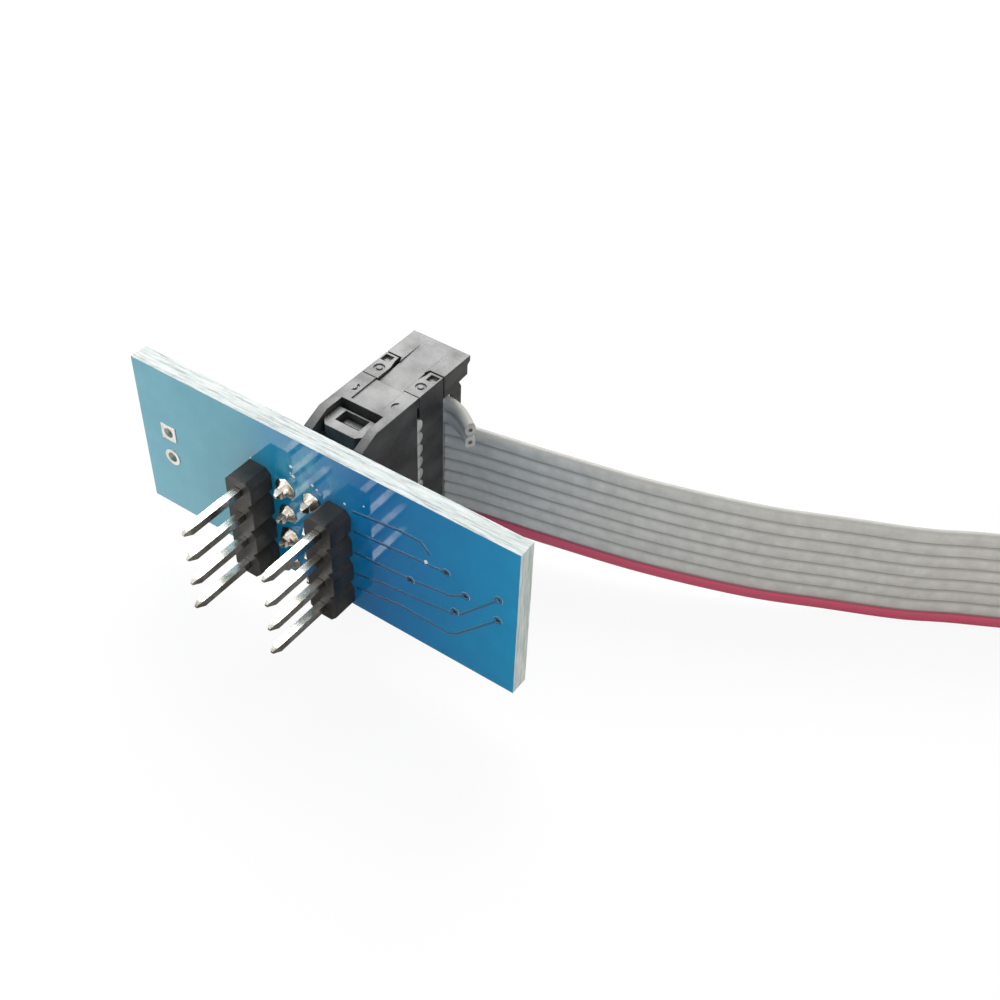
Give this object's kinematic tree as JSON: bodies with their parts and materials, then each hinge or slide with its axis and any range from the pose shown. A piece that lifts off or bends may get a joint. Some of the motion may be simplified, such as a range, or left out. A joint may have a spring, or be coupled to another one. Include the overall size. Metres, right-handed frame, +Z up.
{
  "type": "ic test clip",
  "caption": "Small-outline chip test clip on a short flat ribbon cable, plugged to a blue adapter board with two rows of square pins; the clip opens and both plugs pull off.",
  "frame": {"origin": "middle of the lower end of the adapter's cable socket, on the surface that the assembly stands on", "axes": "+Z up along the pin rows and the board's height; +X along the board from its plated holes to its long end, the way the ribbon leaves; +Y from the board's pins to the back of the cable socket"},
  "size_m": [0.1169, 0.0938, 0.0191],
  "materials": {
    "board": "glossy blue solder mask on fibreglass",
    "tin": "bright tin plate",
    "solder": "bright solder",
    "header_plastic": "moulded black nylon",
    "socket_plastic": "moulded black polyester with a fine grain",
    "clip_plastic": "moulded black glass-filled plastic",
    "ribbon": "grey vinyl with a red edge stripe",
    "gold": "gold flash over spring alloy",
    "steel": "plain spring steel"
  },
  "bodies": {
    "cable": {"socket_body": "socket_plastic", "socket_contacts": "gold", "socket_cover": "socket_plastic", "strain_relief": "socket_plastic", "ribbon_clamped": "ribbon", "ribbon_stub": "ribbon", "ribbon": "ribbon", "clip_socket_body": "socket_plastic", "clip_socket_contacts": "gold", "clip_socket_cover": "socket_plastic", "clip_strain_relief": "socket_plastic", "clip_ribbon_clamped": "ribbon"},
    "adapter": {"adapter_board": "board", "plated_pads": "tin", "header_left": "header_plastic", "header_right": "header_plastic", "dip_pins_left": "tin", "dip_pins_right": "tin", "plug_header": "header_plastic", "plug_pins": "tin", "plug_solder": "solder", "dip_solder": "solder"},
    "clip": {"clip_block": "clip_plastic", "clip_pins": "gold", "hinge_pin_left": "steel", "hinge_pin_right": "steel", "spring_left": "steel", "spring_right": "steel"},
    "left_jaw": {"jaw_left": "clip_plastic", "jaw_contacts_left": "gold"},
    "right_jaw": {"jaw_right": "clip_plastic", "jaw_contacts_right": "gold"}
  },
  "joints": [
    {"name": "adapter_unplugs", "type": "slide", "parent": "cable", "child": "adapter", "axis": [0, -1, 0], "range_m": [0, 0.006]},
    {"name": "clip_unplugs", "type": "slide", "parent": "cable", "child": "clip", "axis": [0, -1, 0], "range_m": [0, 0.006]},
    {"name": "left_jaw_opens", "type": "hinge", "parent": "clip", "child": "left_jaw", "pos_m": [0.0856, -0.04345, 0.00723], "axis": [0, 0, 1], "range_deg": [-12, 0], "stiffness_Nm_per_rad": 0.05, "deforming": ["spring_left"]},
    {"name": "right_jaw_opens", "type": "hinge", "parent": "clip", "child": "right_jaw", "pos_m": [0.0944, -0.04345, 0.00723], "axis": [0, 0, 1], "range_deg": [0, 12], "stiffness_Nm_per_rad": 0.05, "deforming": ["spring_right"]}
  ],
  "couplings": [
    {"joint": "left_jaw_opens", "follows": "right_jaw_opens", "ratio": -1}
  ]
}
